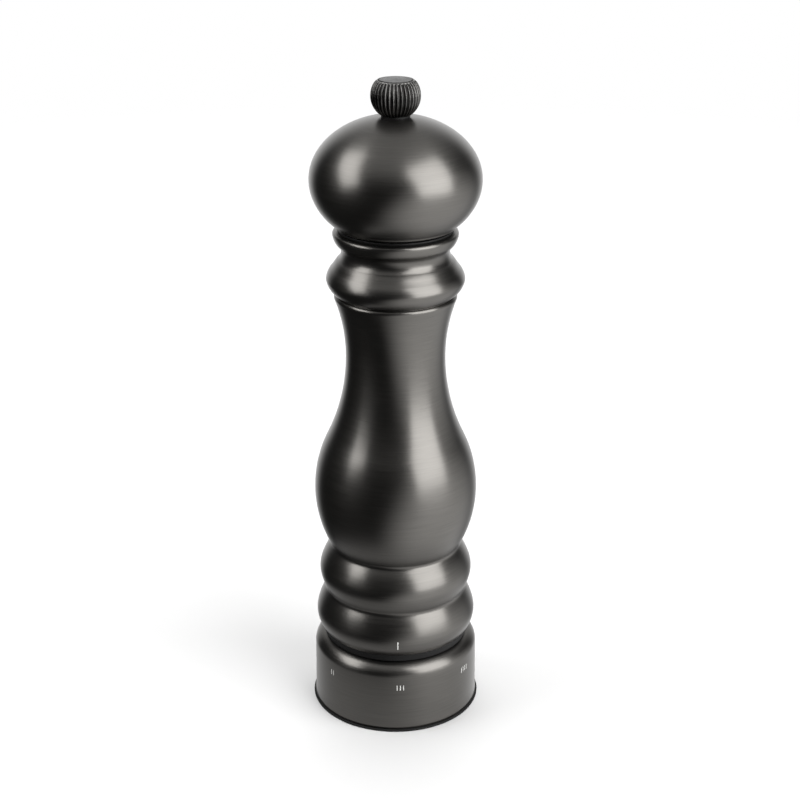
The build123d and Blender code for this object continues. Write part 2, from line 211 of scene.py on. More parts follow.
def inset(points, wall):
    # the same outline, moved to the left of its direction by the wall's thickness
    moved = []
    for i, (x, y) in enumerate(points):
        nextPoint = points[min(i + 1, len(points) - 1)]
        lastPoint = points[max(i - 1, 0)]
        dx, dy = nextPoint[0] - lastPoint[0], nextPoint[1] - lastPoint[1]
        length = math.hypot(dx, dy)
        moved.append((x - dy / length * wall, y + dx / length * wall))
    return moved


def turnedMesh(name, outline, steps=roundSteps):
    # spins an outline about Z; grain holds the way round and the way along the surface
    along = [0.0]
    for first, last in zip(outline, outline[1:]):
        along.append(along[-1] + math.dist(first, last) * mm)
    vertices, grain = [], []
    for (radius, height), reach in zip(outline, along):
        for j in range(steps):
            angle = 2 * math.pi * j / steps
            c, s = math.cos(angle), math.sin(angle)
            vertices.append((radius * mm * c, radius * mm * s, height * mm))
            grain.extend((c * grainRadius, s * grainRadius, reach))
    faces = []
    rows = len(outline)
    for i in range(rows):
        k = (i + 1) % rows
        for j in range(steps):
            n = (j + 1) % steps
            faces.append((i * steps + j, i * steps + n, k * steps + n, k * steps + j))
    mesh = bpy.data.meshes.new(name)
    mesh.from_pydata(vertices, [], faces)
    mesh.attributes.new("grain", "FLOAT_VECTOR", "POINT").data.foreach_set("vector", grain)
    mesh.polygons.foreach_set("use_smooth", [True] * len(faces))
    mesh.update()
    return mesh


def linked(name, data):
    thing = bpy.data.objects.new(name, data)
    bpy.context.scene.collection.objects.link(thing)
    return thing


def shown(name, mesh, material, body, slot, *replaced):
    piece = linked(name, mesh)
    mesh.materials.clear()
    mesh.materials.append(material)
    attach(piece, body)
    if replaced:
        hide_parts(*replaced)
    return piece


# finishes
def newMaterial(name):
    material = bpy.data.materials.new(name)
    material.use_nodes = True
    material.node_tree.nodes.clear()
    return material, Graph(material.node_tree)


def finished(graph, sockets):
    shader = graph.add("ShaderNodeBsdfPrincipled", sockets=sockets)
    graph.add("ShaderNodeOutputMaterial", sockets={"Surface": shader})


def pattern(graph, place, stretch, detail, roughness):
    # noise that is stretched by a different amount along each axis
    spread = graph.add(
        "ShaderNodeVectorMath", {"operation": "MULTIPLY"}, {0: place, 1: stretch}
    )
    return graph.add(
        "ShaderNodeTexNoise",
        sockets={"Vector": spread, "Scale": 1.0, "Detail": detail, "Roughness": roughness},
    )


def ranged(graph, value, low, high, newLow, newHigh):
    return graph.add(
        "ShaderNodeMapRange",
        sockets={"Value": value, "From Min": low, "From Max": high,
                 "To Min": newLow, "To Max": newHigh},
    )


def blended(graph, factor, first, second):
    return graph.add(
        "ShaderNodeMix",
        {"data_type": "RGBA"},
        {0: factor, 6: (*first, 1), 7: (*second, 1)},
        out=2,
    )


def bumped(graph, height, strength, distance):
    return graph.add(
        "ShaderNodeBump", sockets={"Height": height, "Strength": strength, "Distance": distance}
    )


brushedLook = {
    "dark": (0.084, 0.081, 0.0765),
    "light": (0.110, 0.1055, 0.099),
    "roughness": (0.265, 0.355),
    "anisotropy": 0.55,
    "fineLines": (110.0, 110.0, 3600.0),
    "broadLines": (45.0, 45.0, 1300.0),
    "clouds": (35.0, 35.0, 28.0),
    "bump": 0.1,
    "bumpDepth": 0.00002,
}


def brushedSteel():
    look = brushedLook
    material, graph = newMaterial("darkBrushedSteel")
    place = graph.add("ShaderNodeTexCoord", out="Object")
    grain = graph.add("ShaderNodeAttribute", {"attribute_name": "grain"}, out="Vector")
    fine = pattern(graph, grain, look["fineLines"], 3.0, 0.65)
    broad = pattern(graph, grain, look["broadLines"], 2.0, 0.6)
    clouds = pattern(graph, place, look["clouds"], 2.0, 0.5)
    tone = ranged(graph, fine * 0.6 + broad * 0.2 + clouds * 0.2, 0.3, 0.7, 0, 1)
    rough = ranged(graph, fine * 0.6 + clouds * 0.4, 0.3, 0.7, *look["roughness"])
    finished(
        graph,
        {"Base Color": blended(graph, tone, look["dark"], look["light"]),
         "Metallic": 1.0,
         "Roughness": rough,
         "Anisotropic": look["anisotropy"],
         "Anisotropic Rotation": 0.25,
         "Normal": bumped(graph, fine * 0.8 + broad * 0.2, look["bump"], look["bumpDepth"])},
    )
    return material


# dark is near black and fills the knob's flutes as painted shade; light tops the ridges, partly
# as wear and partly as a painted highlight; speckle and clouds vary both at random
castLook = {
    "dark": (0.012, 0.0117, 0.0113),
    "light": (0.17, 0.167, 0.162),
    "roughness": (0.24, 0.42),
    "speckle": (3200.0, 3200.0, 3200.0),
    "clouds": (420.0, 420.0, 420.0),
    "bump": 0.6,
    "bumpDepth": 0.00006,
}


def castMetal():
    look = castLook
    material, graph = newMaterial("knobCastMetal")
    place = graph.add("ShaderNodeTexCoord", out="Object")
    speckle = pattern(graph, place, look["speckle"], 3.0, 0.6)
    clouds = pattern(graph, place, look["clouds"], 2.0, 0.5)
    # the ridge attribute makes the ridges light and leaves the flutes near black: partly edge
    # wear, partly a painted highlight on the ridges and painted shade in the flutes
    ridge = graph.add("ShaderNodeAttribute", {"attribute_name": "ridge"}, out="Fac")
    tone = ranged(graph, ridge**2.0 * 0.45 + speckle * 0.4 + clouds * 0.15, 0.3, 0.75, 0, 1)
    rough = ranged(graph, speckle * 0.6 + clouds * 0.4, 0.3, 0.7, *look["roughness"])
    finished(
        graph,
        {"Base Color": blended(graph, tone, look["dark"], look["light"]),
         "Metallic": 1.0,
         "Roughness": rough,
         "Normal": bumped(graph, speckle, look["bump"], look["bumpDepth"])},
    )
    return material


plasticClouds = (90.0, 90.0, 60.0)
plasticBumpDepth = 0.00004
plasticLooks = {
    "blackPlastic": {
        "dark": (0.003, 0.003, 0.003), "light": (0.007, 0.007, 0.007),
        "roughness": (0.43, 0.57), "grain": 2600.0, "bump": 0.15, "shine": 0.16,
    },
    "footRubber": {
        "dark": (0.004, 0.004, 0.004), "light": (0.009, 0.009, 0.009),
        "roughness": (0.63, 0.77), "grain": 2600.0, "bump": 0.15, "shine": 0.14,
    },
    "linerPlastic": {
        "dark": (0.30, 0.29, 0.27), "light": (0.38, 0.37, 0.35),
        "roughness": (0.38, 0.52), "grain": 2600.0, "bump": 0.15, "shine": 0.5,
    },
    "nylon": {
        "dark": (0.68, 0.67, 0.63), "light": (0.78, 0.77, 0.73),
        "roughness": (0.33, 0.47), "grain": 2600.0, "bump": 0.15, "shine": 0.5,
    },
    "markPaint": {
        "dark": (0.36, 0.36, 0.35), "light": (0.52, 0.52, 0.50),
        "roughness": (0.43, 0.57), "grain": 5200.0, "bump": 0.1, "shine": 0.5,
    },
}


def mouldedPlastic(name):
    look = plasticLooks[name]
    material, graph = newMaterial(name)
    place = graph.add("ShaderNodeTexCoord", out="Object")
    grain = pattern(graph, place, (look["grain"],) * 3, 3.0, 0.6)
    clouds = pattern(graph, place, plasticClouds, 2.0, 0.5)
    tone = ranged(graph, grain * 0.4 + clouds * 0.6, 0.35, 0.65, 0, 1)
    rough = ranged(graph, grain * 0.5 + clouds * 0.5, 0.3, 0.7, *look["roughness"])
    finished(
        graph,
        {"Base Color": blended(graph, tone, look["dark"], look["light"]),
         "Roughness": rough,
         "Normal": bumped(graph, grain, look["bump"], plasticBumpDepth),
         "Specular IOR Level": look["shine"]},
    )
    return material


metalClouds = (140.0, 140.0, 110.0)
metalBump, metalBumpDepth = 0.15, 0.00003
metalLooks = {
    "plainSteel": {
        "dark": (0.42, 0.42, 0.43), "light": (0.56, 0.56, 0.57),
        "roughness": (0.22, 0.38), "lines": (300.0, 300.0, 2600.0),
    },
    "drawnSteel": {
        "dark": (0.40, 0.40, 0.41), "light": (0.52, 0.52, 0.53),
        "roughness": (0.22, 0.38), "lines": (3600.0, 3600.0, 60.0),
    },
    "burrSteel": {
        "dark": (0.20, 0.20, 0.205), "light": (0.30, 0.30, 0.30),
        "roughness": (0.34, 0.50), "lines": (2400.0, 2400.0, 2400.0),
    },
    "turnedBrass": {
        "dark": (0.56, 0.38, 0.14), "light": (0.70, 0.50, 0.21),
        "roughness": (0.22, 0.38), "lines": (260.0, 260.0, 6000.0),
    },
}


def machinedMetal(name):
    look = metalLooks[name]
    material, graph = newMaterial(name)
    place = graph.add("ShaderNodeTexCoord", out="Object")
    marks = pattern(graph, place, look["lines"], 3.0, 0.6)
    clouds = pattern(graph, place, metalClouds, 2.0, 0.5)
    tone = ranged(graph, marks * 0.5 + clouds * 0.5, 0.35, 0.65, 0, 1)
    rough = ranged(graph, marks * 0.6 + clouds * 0.4, 0.3, 0.7, *look["roughness"])
    finished(
        graph,
        {"Base Color": blended(graph, tone, look["dark"], look["light"]),
         "Metallic": 1.0,
         "Roughness": rough,
         "Normal": bumped(graph, marks, metalBump, metalBumpDepth)},
    )
    return material


def coated(node, material):
    mesh = nodes[node].data
    mesh.materials.clear()
    mesh.materials.append(material)


darkSteel = brushedSteel()
knobMetal = castMetal()
blackPlastic = mouldedPlastic("blackPlastic")
footRubber = mouldedPlastic("footRubber")
markPaint = mouldedPlastic("markPaint")
finishOf = {
    "dark_steel": darkSteel,
    "plain_steel": machinedMetal("plainSteel"),
    "burr_steel": machinedMetal("burrSteel"),
    "knob_metal": knobMetal,
    "bearing_brass": machinedMetal("turnedBrass"),
    "liner_plastic": mouldedPlastic("linerPlastic"),
    "black_plastic": blackPlastic,
    "white_plastic": mouldedPlastic("nylon"),
    "foot_rubber": footRubber,
}
for row in frame["record"]["subparts"]:
    coated(row["node"], finishOf[row["material_slot"]])
coated("drive_shaft", machinedMetal("drawnSteel"))  # its lines run along the rod
print("finishes made")


# the turned steel body
bodyShape = {
    "wall": 0.8,
    "lipRadius": 24.2,
    "beadCurve": 9.0,
    "lowerBead": (18.49, 34.0),
    "lowerBeadAngles": (-42.0, 14.0),
    "upperBead": (17.23, 50.3),
    "upperBeadAngles": (-12.0, 18.0),
    "beadCrease": (24.15, 43.25),
    "bodyCreaseHeight": 59.8,
    "bellyCenter": (-14.95, 80.5),
    "bellyCurve": 42.5,
    "waistRadius": 16.55,
    "waistHeight": 128.5,
    "upperWaistCurve": 58.0,
    "bodyTop": 148.5,
    "rolledEdge": (20.17, 149.3),
    "neckCrease": (19.25, 150.1),
    "neckBeadLow": (21.45, 152.0),
    "neckBead": (22.74, 155.1),
    "neckBeadHigh": (22.2, 157.0),
    "neckBeadEnd": (20.85, 159.0),
    "grooveCenter": (21.21, 164.2),
    "grooveCurve": 3.5,
    "grooveAngle": 56.0,
    "collarMiddle": (20.25, 169.0),
    "collarEdge": (20.48, 170.1),
    "collarRound": (20.3, 170.8),
    "collarTop": (19.7, 171.2),
    "collarMouth": 17.4,
    "lipEase": 0.35,
    "creaseEase": 1.1,
    "neckEase": 0.3,
}


def bodyOutline(s):
    belly, curve = s["bellyCenter"], s["bellyCurve"]
    rise = s["bodyCreaseHeight"] - belly[1]
    crease = (belly[0] + math.sqrt(curve**2 - rise**2), s["bodyCreaseHeight"])
    reach, climb = s["waistRadius"] - belly[0], s["waistHeight"] - belly[1]
    # the one curve that touches the belly's arc and stands upright at the waist
    waistCurve = (reach**2 + climb**2 - curve**2) / (2 * (curve - reach))
    waist = (s["waistRadius"] + waistCurve, s["waistHeight"])
    upperWaist = (s["waistRadius"] + s["upperWaistCurve"], s["waistHeight"])
    tilt = math.degrees(math.atan2(waist[1] - belly[1], waist[0] - belly[0]))
    start = math.degrees(math.asin(rise / curve))
    flare = math.degrees(math.asin((s["bodyTop"] - waist[1]) / s["upperWaistCurve"]))
    lower = arc(s["lowerBead"], s["beadCurve"], *s["lowerBeadAngles"], 16)
    upper = arc(s["upperBead"], s["beadCurve"], *s["upperBeadAngles"], 14)
    throat = arc(upperWaist, s["upperWaistCurve"], 180, 180 - flare, 14)
    angle = s["grooveAngle"]
    groove = arc(s["grooveCenter"], s["grooveCurve"], 180 + angle, 180 - angle, 14)
    outline = joined(
        straight((s["lipRadius"], lower[0][1]), lower[0], 2),
        lower,
        tangentArc(lower[-1], s["beadCrease"], s["lowerBeadAngles"][1] + 90, 8),
        tangentArc(upper[0], s["beadCrease"], s["upperBeadAngles"][0] - 90, 6)[::-1],
        upper,
        tangentArc(upper[-1], crease, s["upperBeadAngles"][1] + 90, 8),
        arc(belly, curve, start, tilt, 34),
        arc(waist, waistCurve, 180 + tilt, 180, 22),
        throat,
        arcThrough(throat[-1], s["rolledEdge"], s["neckCrease"], 8),
        arcThrough(s["neckCrease"], s["neckBeadLow"], s["neckBead"], 10),
        arcThrough(s["neckBead"], s["neckBeadHigh"], s["neckBeadEnd"], 8),
        straight(s["neckBeadEnd"], groove[0], 2),
        groove,
        arcThrough(groove[-1], s["collarMiddle"], s["collarEdge"], 6),
        arcThrough(s["collarEdge"], s["collarRound"], s["collarTop"], 5),
        straight(s["collarTop"], (s["collarMouth"], s["collarTop"][1]), 2),
    )
    outline = eased(outline, lower[0], s["lipEase"])
    outline = eased(outline, s["beadCrease"], s["creaseEase"])
    outline = eased(outline, crease, s["creaseEase"])
    return eased(outline, s["neckCrease"], s["neckEase"])


def skinOf(outline, wall):
    return outline + inset(outline, wall)[::-1]


bodySkin = shown(
    "bodySkin",
    turnedMesh("bodySkin", skinOf(bodyOutline(bodyShape), bodyShape["wall"])),
    darkSteel, "barrel", "dark_steel", "body_shell",
)
print("body turned")


# the spun head
headShape = {
    "wall": 0.8,
    "center": (0.0, 188.0),
    "radius": 27.8,
    "rise": 20.5,
    "drop": 21.0,
    "rimHeight": 173.6,
    "bottom": 172.8,
    "mouth": 18.4,
    "rimStart": (19.3, 172.8),
    "rimMiddle": (19.8, 173.0),
    "seat": 208.2,
    "seatStep": 0.25,
    "hole": 3.4,
    "holeLip": 4.4,
}


def headOutline(s):
    low = math.degrees(math.asin((s["rimHeight"] - s["center"][1]) / s["drop"]))
    high = math.degrees(math.asin((s["seat"] - s["seatStep"] - s["center"][1]) / s["rise"]))
    lower = ellipse(s["center"], s["radius"], s["drop"], low, 0, 26)
    upper = ellipse(s["center"], s["radius"], s["rise"], 0, high, 40)
    return joined(
        straight((s["mouth"], s["bottom"]), s["rimStart"]),
        arcThrough(s["rimStart"], s["rimMiddle"], lower[0], 5),
        lower,
        upper,
        straight(upper[-1], (s["holeLip"], s["seat"])),
        straight((s["holeLip"], s["seat"]), (s["hole"], s["seat"])),
    )


shown(
    "headSkin",
    turnedMesh("headSkin", skinOf(headOutline(headShape), headShape["wall"])),
    darkSteel, "head", "dark_steel", "head_shell",
)
print("head spun")


# the adjusting ring in the base, and the foot under it
ringShape = {
    "wall": 0.8,
    "bottom": (28.62, 0.9),
    "low": (28.43, 4.0),
    "shoulderCenter": (23.75, 20.8),
    "shoulderCurve": 4.5,
}


def ringOutline(s):
    shoulder = arc(s["shoulderCenter"], s["shoulderCurve"], 0, 90, 18)
    return joined(
        straight(s["bottom"], s["low"], 3),
        straight(s["low"], shoulder[0], 8),
        shoulder,
    )


ringSkin = shown(
    "ringSkin",
    turnedMesh("ringSkin", skinOf(ringOutline(ringShape), ringShape["wall"])),
    darkSteel, "selector", "dark_steel", "selector_shell",
)

footShape = {
    "inner": 23.4,
    "bottomRadius": 28.75,
    "widest": (29.168, 0.45),
    "topRadius": 28.95,
    "height": 0.8,
}


def footOutline(s):
    bottomEdge, topEdge = (s["bottomRadius"], 0.0), (s["topRadius"], s["height"])
    return joined(
        straight((s["inner"], 0.0), bottomEdge, 2),
        arcThrough(bottomEdge, s["widest"], topEdge, 10),
        straight(topEdge, (s["inner"], s["height"]), 2),
    )


shown(
    "footBand",
    turnedMesh("footBand", footOutline(footShape)),
    footRubber, "selector", "foot_rubber", "foot_ring",
)

bushShape = {
    "linerRadius": 15.3,
    "radius": 16.7,
    "bottom": 156.0,
    "collarTop": 171.2,
    "flange": 18.8,
    "top": 172.2,
    "bore": 14.58,
    "linerTop": 161.0,
    "round": 0.3,
}


def bushOutline(s):
    edge = s["round"]
    return joined(
        straight((s["linerRadius"], s["bottom"]), (s["radius"], s["bottom"])),
        straight((s["radius"], s["bottom"]), (s["radius"], s["collarTop"]), 4),
        straight((s["radius"], s["collarTop"]), (s["flange"], s["collarTop"])),
        arc((s["flange"] - edge, s["top"] - edge), edge, 0, 90, 4),
        arc((s["bore"] + edge, s["top"] - edge), edge, 90, 180, 4),
        straight((s["bore"], s["linerTop"]), (s["linerRadius"], s["linerTop"])),
    )


shown(
    "neckRing",
    turnedMesh("neckRing", bushOutline(bushShape)),
    blackPlastic, "barrel", "black_plastic", "neck_bush",
)
print("base ring, foot and neck ring turned")


# the fluted knob and the disc in its top
knobShape = {
    "bottom": 208.8,
    "neck": 4.9,
    "widest": (7.98, 214.9),
    "shoulder": (6.6, 219.1),
    "rim": (5.75, 219.75),
    "recess": (5.65, 219.1),
    "bore": 4.0,
    "boreTop": 216.2,
    "flutes": 36,
    "stepsPerFlute": 12,
    "depth": 0.42,
    "ridgeSharpness": 0.45,
    "fade": 0.6,
    "fluteStart": 208.2,
    "fluteEnd": 219.7,
    "flutesOutside": 4.5,
    "recessInner": 3.0,
    "shoulderEase": 0.4,
    "rimEase": 0.1,
}


def newGroup(name, inputs):
    group = bpy.data.node_groups.new(name, "GeometryNodeTree")
    face = group.interface
    face.new_socket("Geometry", in_out="INPUT", socket_type="NodeSocketGeometry")
    face.new_socket("Geometry", in_out="OUTPUT", socket_type="NodeSocketGeometry")
    for title, kind in inputs.items():
        face.new_socket(title, in_out="INPUT", socket_type="NodeSocket" + kind)
    return group, Graph(group)


def grown(name, mesh, group, values):
    # runs a tree on a mesh and keeps what comes out as a plain mesh
    maker = linked(name + "Maker", mesh)
    modifier = maker.modifiers.new("maker", "NODES")
    modifier.node_group = group
    for item in group.interface.items_tree:
        if item.in_out == "INPUT" and item.name in values:
            modifier[item.identifier] = values[item.name]
    view = bpy.context.evaluated_depsgraph_get()
    made = bpy.data.meshes.new_from_object(maker.evaluated_get(view))
    bpy.data.objects.remove(maker)
    made.name = name
    return made


def flutedGroup():
    # presses flutes into a turned grip, deepest at its widest and fading at both ends
    group, graph = newGroup(
        "flutedGrip",
        {"Flutes": "Int", "Depth": "Float", "Sharpness": "Float", "Low": "Float", "High": "Float",
         "Fade": "Float", "Inner": "Float", "Material": "Material"},
    )
    get = graph.entries()
    place = graph.add("GeometryNodeInputPosition")
    x, y, z = graph.add("ShaderNodeSeparateXYZ", sockets={0: place}, out=("X", "Y", "Z"))
    angle = graph.add("ShaderNodeMath", {"operation": "ARCTAN2"}, {0: y, 1: x})
    wave = graph.add("ShaderNodeMath", {"operation": "COSINE"}, {0: angle * get["Flutes"]})
    hollow = (0.5 + wave * 0.5) ** get["Sharpness"]
    rise = graph.add(
        "ShaderNodeMapRange", {"interpolation_type": "SMOOTHSTEP"},
        {"Value": z, "From Min": get["Low"], "From Max": get["Low"] + get["Fade"]},
    )
    fall = graph.add(
        "ShaderNodeMapRange", {"interpolation_type": "SMOOTHSTEP"},
        {"Value": z, "From Min": get["High"] - get["Fade"], "From Max": get["High"],
         "To Min": 1.0, "To Max": 0.0},
    )
    radius = graph.add("ShaderNodeMath", {"operation": "POWER"}, {0: x * x + y * y, 1: 0.5})
    outer = graph.add(
        "ShaderNodeMath", {"operation": "GREATER_THAN"}, {0: radius, 1: get["Inner"]}
    )
    reach = hollow * rise * fall * outer
    share = reach * get["Depth"] / radius
    out = graph.add(
        "ShaderNodeCombineXYZ", sockets={"X": x * share * -1.0, "Y": y * share * -1.0, "Z": 0.0}
    )
    moved = graph.add(
        "GeometryNodeSetPosition", sockets={"Geometry": get["Geometry"], "Offset": out}
    )
    # stores how near each point is to a ridge; the knob's finish uses it to paint the ridges
    # light and the flutes dark, as painted highlight and painted shade
    stored = graph.add(
        "GeometryNodeStoreNamedAttribute", {"data_type": "FLOAT", "domain": "POINT"},
        {"Geometry": moved, "Name": "ridge", "Value": 1.0 - reach},
    )
    real = graph.add("GeometryNodeRealizeInstances", sockets={"Geometry": stored})
    done = graph.add(
        "GeometryNodeSetMaterial", sockets={"Geometry": real, "Material": get["Material"]}
    )
    graph.add("NodeGroupOutput", sockets={"Geometry": done})
    return group


def knobOutline(s):
    recess, inner = s["recess"], s["recessInner"]
    rimInside = (recess[0], s["rim"][1])
    line = joined(
        straight((s["bore"], s["bottom"]), (s["neck"], s["bottom"]), 3),
        arcThrough((s["neck"], s["bottom"]), s["widest"], s["shoulder"], 34),
        straight(s["shoulder"], s["rim"], 3),
        straight(s["rim"], rimInside),
        straight(rimInside, recess),
        straight(recess, (inner, recess[1]), 3),
        straight((inner, recess[1]), (inner, s["boreTop"])),
        straight((inner, s["boreTop"]), (s["bore"], s["boreTop"])),
    )
    return eased(eased(line, s["shoulder"], s["shoulderEase"]), s["rim"], s["rimEase"])


def knobMesh(s):
    blank = turnedMesh("knobBlank", knobOutline(s), s["flutes"] * s["stepsPerFlute"])
    return grown(
        "knobGrip", blank, flutedGroup(),
        {"Flutes": s["flutes"], "Depth": s["depth"] * mm, "Sharpness": s["ridgeSharpness"],
         "Low": s["fluteStart"] * mm, "High": s["fluteEnd"] * mm, "Fade": s["fade"] * mm,
         "Inner": s["flutesOutside"] * mm, "Material": knobMetal},
    )


shown("knobGrip", knobMesh(knobShape), knobMetal, "knob", "knob_metal", "knob")

discShape = {
    "radius": 5.2,
    "bottom": 219.1,
    "edge": 219.85,
    "round": 0.2,
    "crown": (2.9, 219.9),
    "top": (0.05, 220.0),
    "steps": 120,
}


def discOutline(s):
    edgeCenter = (s["radius"] - s["round"], s["edge"] - s["round"])
    return joined(
        straight((s["top"][0], s["bottom"]), (s["radius"], s["bottom"])),
        straight((s["radius"], s["bottom"]), (s["radius"], edgeCenter[1])),
        arc(edgeCenter, s["round"], 0, 80, 5),
        arcThrough((edgeCenter[0], s["edge"]), s["crown"], s["top"], 12),
    )


shown(
    "knobCap", turnedMesh("knobCap", discOutline(discShape), discShape["steps"]),
    knobMetal, "knob", "knob_metal", "knob_disc",
)
print("knob made")


# painted strokes: one on the body, and one to six for the settings on the ring
strokes = {
    "width": 0.3,
    "height": 1.95,
    "gap": 1.1,
    "thickness": 0.05,
    "lift": 0.012,
    "middle": 17.1,
    "front": 3.3,
    "step": 54.0,
    "settings": 6,
    "frontSetting": 3,
    "indexWidth": 0.42,
    "indexHeight": 3.1,
    "indexMiddle": 33.0,
    "indexAngle": 1.6,
    "ringRadius": 28.3,
    "bodyRadius": 27.4,
}


def strokeGroup():
    # lays a row of painted strokes on a turned skin, cast inwards at the axis
    group, graph = newGroup(
        "paintedStrokes",
        {"Skin": "Object", "Count": "Int", "Width": "Float", "Height": "Float", "Gap": "Float",
         "Thickness": "Float", "Lift": "Float", "Middle": "Float", "Angle": "Float",
         "Radius": "Float", "Material": "Material"},
    )
    get = graph.entries()
    size = graph.add(
        "ShaderNodeCombineXYZ",
        sockets={"X": get["Width"], "Y": get["Thickness"], "Z": get["Height"]},
    )
    stroke = graph.add(
        "GeometryNodeMeshCube",
        sockets={"Size": size, "Vertices X": 3, "Vertices Y": 2, "Vertices Z": 9},
    )
    start = graph.add(
        "ShaderNodeCombineXYZ", sockets={"X": get["Gap"] * (get["Count"] - 1.0) * -0.5}
    )
    pace = graph.add("ShaderNodeCombineXYZ", sockets={"X": get["Gap"]})
    row = graph.add(
        "GeometryNodeMeshLine",
        sockets={"Count": get["Count"], "Start Location": start, "Offset": pace},
    )
    laid = graph.add(
        "GeometryNodeInstanceOnPoints", sockets={"Points": row, "Instance": stroke}
    )
    real = graph.add("GeometryNodeRealizeInstances", sockets={"Geometry": laid})
    place = graph.add("GeometryNodeInputPosition")
    x, y, z = graph.add("ShaderNodeSeparateXYZ", sockets={0: place}, out=("X", "Y", "Z"))
    turn = get["Angle"] + x / get["Radius"]
    side = graph.add("ShaderNodeMath", {"operation": "SINE"}, {0: turn})
    front = graph.add("ShaderNodeMath", {"operation": "COSINE"}, {0: turn})
    height = z + get["Middle"]
    far = get["Radius"] * 2.0
    source = graph.add(
        "ShaderNodeCombineXYZ", sockets={"X": side * far, "Y": front * far * -1.0, "Z": height}
    )
    inwards = graph.add(
        "ShaderNodeCombineXYZ", sockets={"X": side * -1.0, "Y": front, "Z": 0.0}
    )
    skin = graph.add("GeometryNodeObjectInfo", sockets={"Object": get["Skin"]}, out="Geometry")
    hit, normal = graph.add(
        "GeometryNodeRaycast",
        sockets={"Target Geometry": skin, "Source Position": source, "Ray Direction": inwards},
        out=("Hit Position", "Hit Normal"),
    )
    raised = graph.add(
        "ShaderNodeVectorMath", {"operation": "SCALE"},
        {0: normal, "Scale": get["Lift"] - y},
    )
    there = graph.add("ShaderNodeVectorMath", {"operation": "ADD"}, {0: hit, 1: raised})
    bent = graph.add("GeometryNodeSetPosition", sockets={"Geometry": real, "Position": there})
    done = graph.add(
        "GeometryNodeSetMaterial", sockets={"Geometry": bent, "Material": get["Material"]}
    )
    graph.add("NodeGroupOutput", sockets={"Geometry": done})
    return group


strokeMaker = strokeGroup()


def strokeRow(name, skin, count, middle, angle, radius, width, height):
    seed = bpy.data.meshes.new(name + "Seed")
    return grown(
        name, seed, strokeMaker,
        {"Skin": skin, "Count": count, "Width": width * mm, "Height": height * mm,
         "Gap": strokes["gap"] * mm, "Thickness": strokes["thickness"] * mm,
         "Lift": strokes["lift"] * mm, "Middle": middle * mm, "Angle": math.radians(angle),
         "Radius": radius * mm, "Material": markPaint},
    )


def paintMarks(s):
    for setting in range(1, s["settings"] + 1):
        angle = s["front"] + (setting - s["frontSetting"]) * s["step"]
        name = "settingMark" + str(setting)
        mesh = strokeRow(
            name, ringSkin, setting, s["middle"], angle, s["ringRadius"], s["width"], s["height"]
        )
        shown(name, mesh, markPaint, "selector", "white_plastic")
    mesh = strokeRow(
        "indexMark", bodySkin, 1, s["indexMiddle"], s["indexAngle"], s["bodyRadius"],
        s["indexWidth"], s["indexHeight"],
    )
    shown("indexMark", mesh, markPaint, "barrel", "white_plastic")


paintMarks(strokes)
print("marks painted")


# floor, light and camera
studio = {
    "floorSize": 8.0,
    "floorTone": (0.5, 0.5, 0.5),
    "floorRoughness": 0.6,
    "floorFull": 0.5,
    "floorEnd": 1.0,
    "backdropRadius": 6.0,
    "aim": 0.11,
    "right": {"azimuth": 54, "elevation": 29, "lean": 0, "size": (1.12, 1.4), "power": 30.0},
    "left": {"azimuth": -78, "elevation": 38, "lean": 38, "size": (0.55, 1.25), "power": 12.0},
    "boxDistance": 1.2,
    "above": {"place": (0, 1.5, 1.3), "size": (3.0, 2.2), "power": 50.0},
    "glowRadius": 0.09,
    "glowFull": 0.055,
    "glowLeft": 0.73,
    "glowRight": 1.2,
    "glowTurns": (-0.02, 0.04),
    "glowBelow": -0.0002,
    "glowCorners": 48,
}


def softbox(name, look):
    lamp = bpy.data.lights.new(name, "AREA")
    lamp.shape = "RECTANGLE"
    lamp.size, lamp.size_y = look["size"]
    lamp.energy = look["power"]
    box = linked(name, lamp)
    box.visible_camera = False
    if "place" in look:
        box.location = look["place"]  # it faces straight down
        return box
    # azimuth counts from the front towards the right
    azimuth, elevation = math.radians(look["azimuth"]), math.radians(look["elevation"])
    way = Vector((
        math.cos(elevation) * math.sin(azimuth),
        -math.cos(elevation) * math.cos(azimuth),
        math.sin(elevation),
    ))
    box.location = Vector((0, 0, studio["aim"])) + way * studio["boxDistance"]
    turn = Quaternion((0, 0, 1), math.radians(look["lean"]))
    box.rotation_euler = ((-way).to_track_quat("-Z", "Y") @ turn).to_euler()
    return box


for name in ("right", "left", "above"):
    softbox("softbox" + name.title(), studio[name])
bpy.data.objects["softboxAbove"].visible_glossy = False  # it only lights the floor


def staged(name, mesh, material):
    mesh.materials.append(material)
    piece = linked(name, mesh)
    return piece


def flatMesh(name, corners):
    mesh = bpy.data.meshes.new(name)
    mesh.from_pydata(corners, [], [tuple(range(len(corners)))])
    return mesh


def domeMesh(radius):
    dome = bmesh.new()
    bmesh.ops.create_icosphere(dome, subdivisions=4, radius=radius)
    mesh = bpy.data.meshes.new("backdrop")
    dome.to_mesh(mesh)
    dome.free()
    return mesh


def fromAxis(graph, place, full, end):
    # one near the mill's axis, and nothing beyond the end
    away = graph.add("ShaderNodeVectorMath", {"operation": "LENGTH"}, {0: place}, out="Value")
    return graph.add(
        "ShaderNodeMapRange", {"interpolation_type": "SMOOTHSTEP"},
        {"Value": away, "From Min": full, "From Max": end, "To Min": 1.0, "To Max": 0.0},
    )


# the floor fades into a white backdrop before its lit part ends
floorMaterial, graph = newMaterial("paleFloor")
place = graph.add("ShaderNodeTexCoord", out="Object")
finished(
    graph,
    {"Base Color": (*studio["floorTone"], 1),
     "Roughness": studio["floorRoughness"],
     "Alpha": fromAxis(graph, place, studio["floorFull"], studio["floorEnd"])},
)
half = studio["floorSize"] / 2
floor = staged(
    "floor",
    flatMesh("floor", [(-half, -half, 0), (half, -half, 0), (half, half, 0), (-half, half, 0)]),
    floorMaterial,
)
floor.visible_glossy = False  # the steel mirrors the studio and the pool of light round its foot

